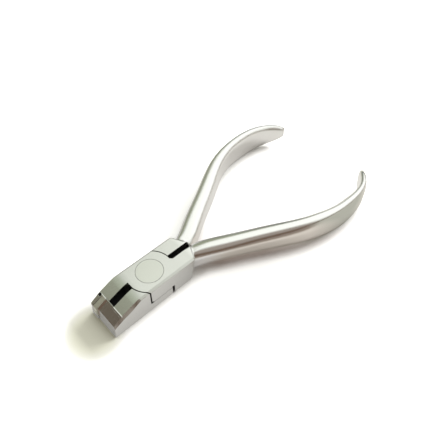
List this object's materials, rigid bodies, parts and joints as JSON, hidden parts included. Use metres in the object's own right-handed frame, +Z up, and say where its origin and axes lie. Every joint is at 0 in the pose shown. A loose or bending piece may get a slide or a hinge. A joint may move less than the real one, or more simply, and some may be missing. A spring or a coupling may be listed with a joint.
{
  "type": "orthodontic pliers",
  "caption": "Lap-joint orthodontic pliers with a short broad head, a bevelled end-cutting nose and two long bowed handles that hinge on a flush rivet.",
  "frame": {"origin": "on the pivot axis in the plane of the head's flat underside", "axes": "+Z up along the pivot axis, +Y toward the handle ends, -Y toward the nose, +X on the side of the right jaw"},
  "size_m": [0.0592, 0.1159, 0.0129],
  "materials": {
    "arm_steel": "satin head, polished handles",
    "rivet_steel": "satin, ground flush with the head",
    "hard_insert": "ground",
    "leaf_steel": "dark spring steel"
  },
  "bodies": {
    "upper": {"upper_arm": "arm_steel", "pivot_rivet": "rivet_steel", "left_cutting_insert": "hard_insert", "wire_hold_leaf": "leaf_steel"},
    "lower": {"lower_arm": "arm_steel", "right_cutting_insert": "hard_insert"}
  },
  "joints": [
    {"name": "pivot", "type": "hinge", "parent": "upper", "child": "lower", "pos_m": [0, 0, 0.00525], "axis": [0, 0, 1], "range_deg": [0, 25]}
  ]
}
